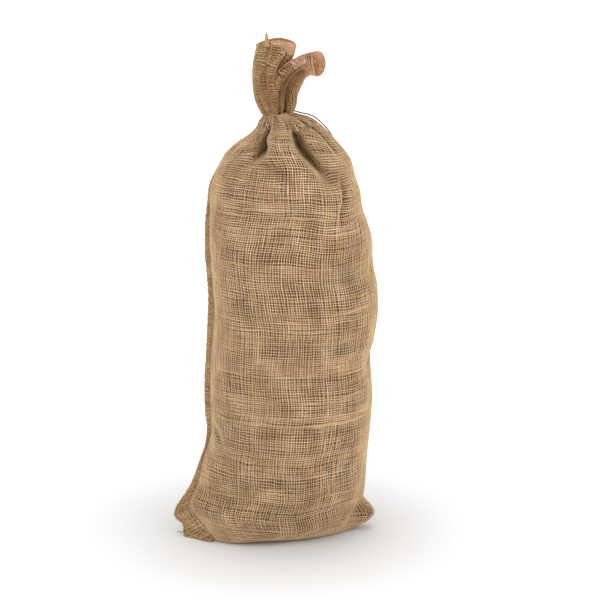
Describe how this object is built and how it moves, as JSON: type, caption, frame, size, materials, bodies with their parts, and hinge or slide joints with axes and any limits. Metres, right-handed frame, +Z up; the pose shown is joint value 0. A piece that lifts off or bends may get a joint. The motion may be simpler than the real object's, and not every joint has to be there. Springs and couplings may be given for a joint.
{
  "type": "filled hessian sack",
  "caption": "Tall filled sack of open-weave hessian, gathered and tied at the neck with jute twine, standing on a flat base with its mouth flopped open above the tie.",
  "frame": {"origin": "on the floor, under the neck and near the middle of the flat patch that the sack stands on", "axes": "+Z up along the sack's height, -Y the front face with the two deep neck folds, +X towards the folded side edge, -X towards the overlocked seam"},
  "size_m": [0.2859, 0.174, 0.7114],
  "materials": {
    "hessian": "open plain-weave jute cloth, natural brown, matt and slightly hairy",
    "jute_twine": "thin twisted natural jute twine, matt"
  },
  "bodies": {
    "root": {"sack": "hessian", "tie": "jute_twine", "tie_end": "jute_twine"}
  },
  "joints": []
}
